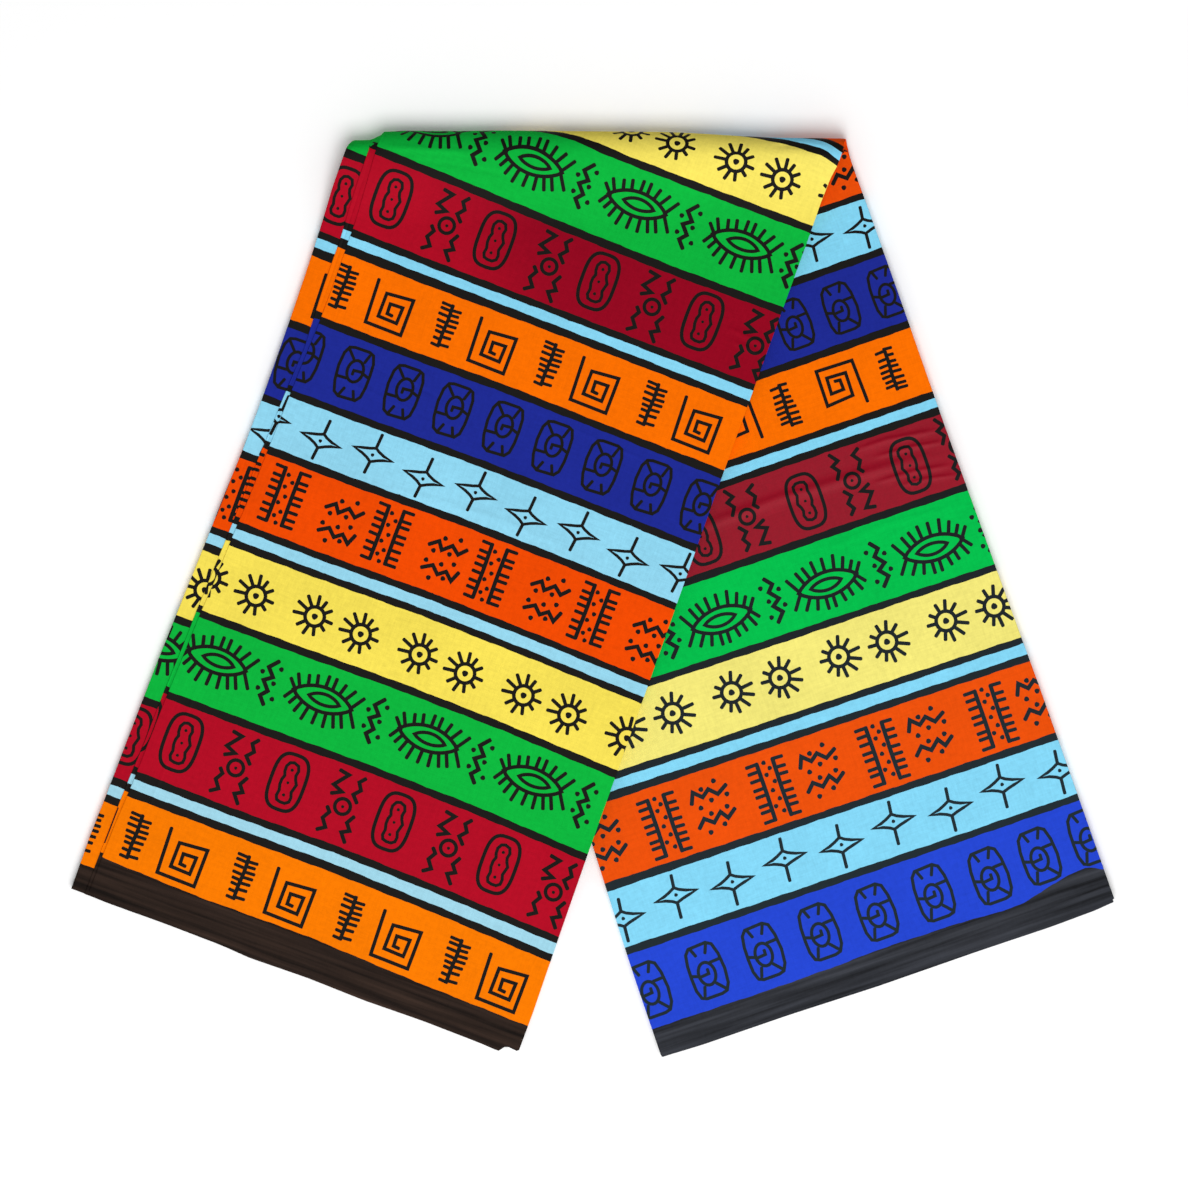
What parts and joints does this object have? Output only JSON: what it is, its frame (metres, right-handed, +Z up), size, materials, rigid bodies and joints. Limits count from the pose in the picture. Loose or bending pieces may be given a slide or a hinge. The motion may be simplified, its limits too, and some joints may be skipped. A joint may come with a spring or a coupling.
{
  "type": "folded wax print fabric",
  "caption": "Length of wax print cotton folded to and fro into a strip and folded once across, lying flat as an upside-down V, with bright cross bands of small black motifs.",
  "frame": {"origin": "on the table, under the middle of the outline seen from above", "axes": "+Z up from the table; +X to the right and +Y away from the viewer, so the fold across the strip is at +Y and the two legs point to -Y"},
  "size_m": [0.6748, 0.5952, 0.0227],
  "materials": {
    "cloth_top_print": "matte",
    "cloth_second_print": "matte",
    "cloth_fold_print": "matte",
    "cloth_right_print": "matte",
    "cloth_layers": "matte"
  },
  "bodies": {
    "root": {"left_top_sheet": "cloth_top_print", "left_second_sheet": "cloth_second_print", "left_hidden_layers": "cloth_layers", "fold_top_sheet": "cloth_fold_print", "fold_hidden_layers": "cloth_layers", "right_top_sheet": "cloth_right_print", "right_hidden_layers": "cloth_layers"}
  },
  "joints": []
}
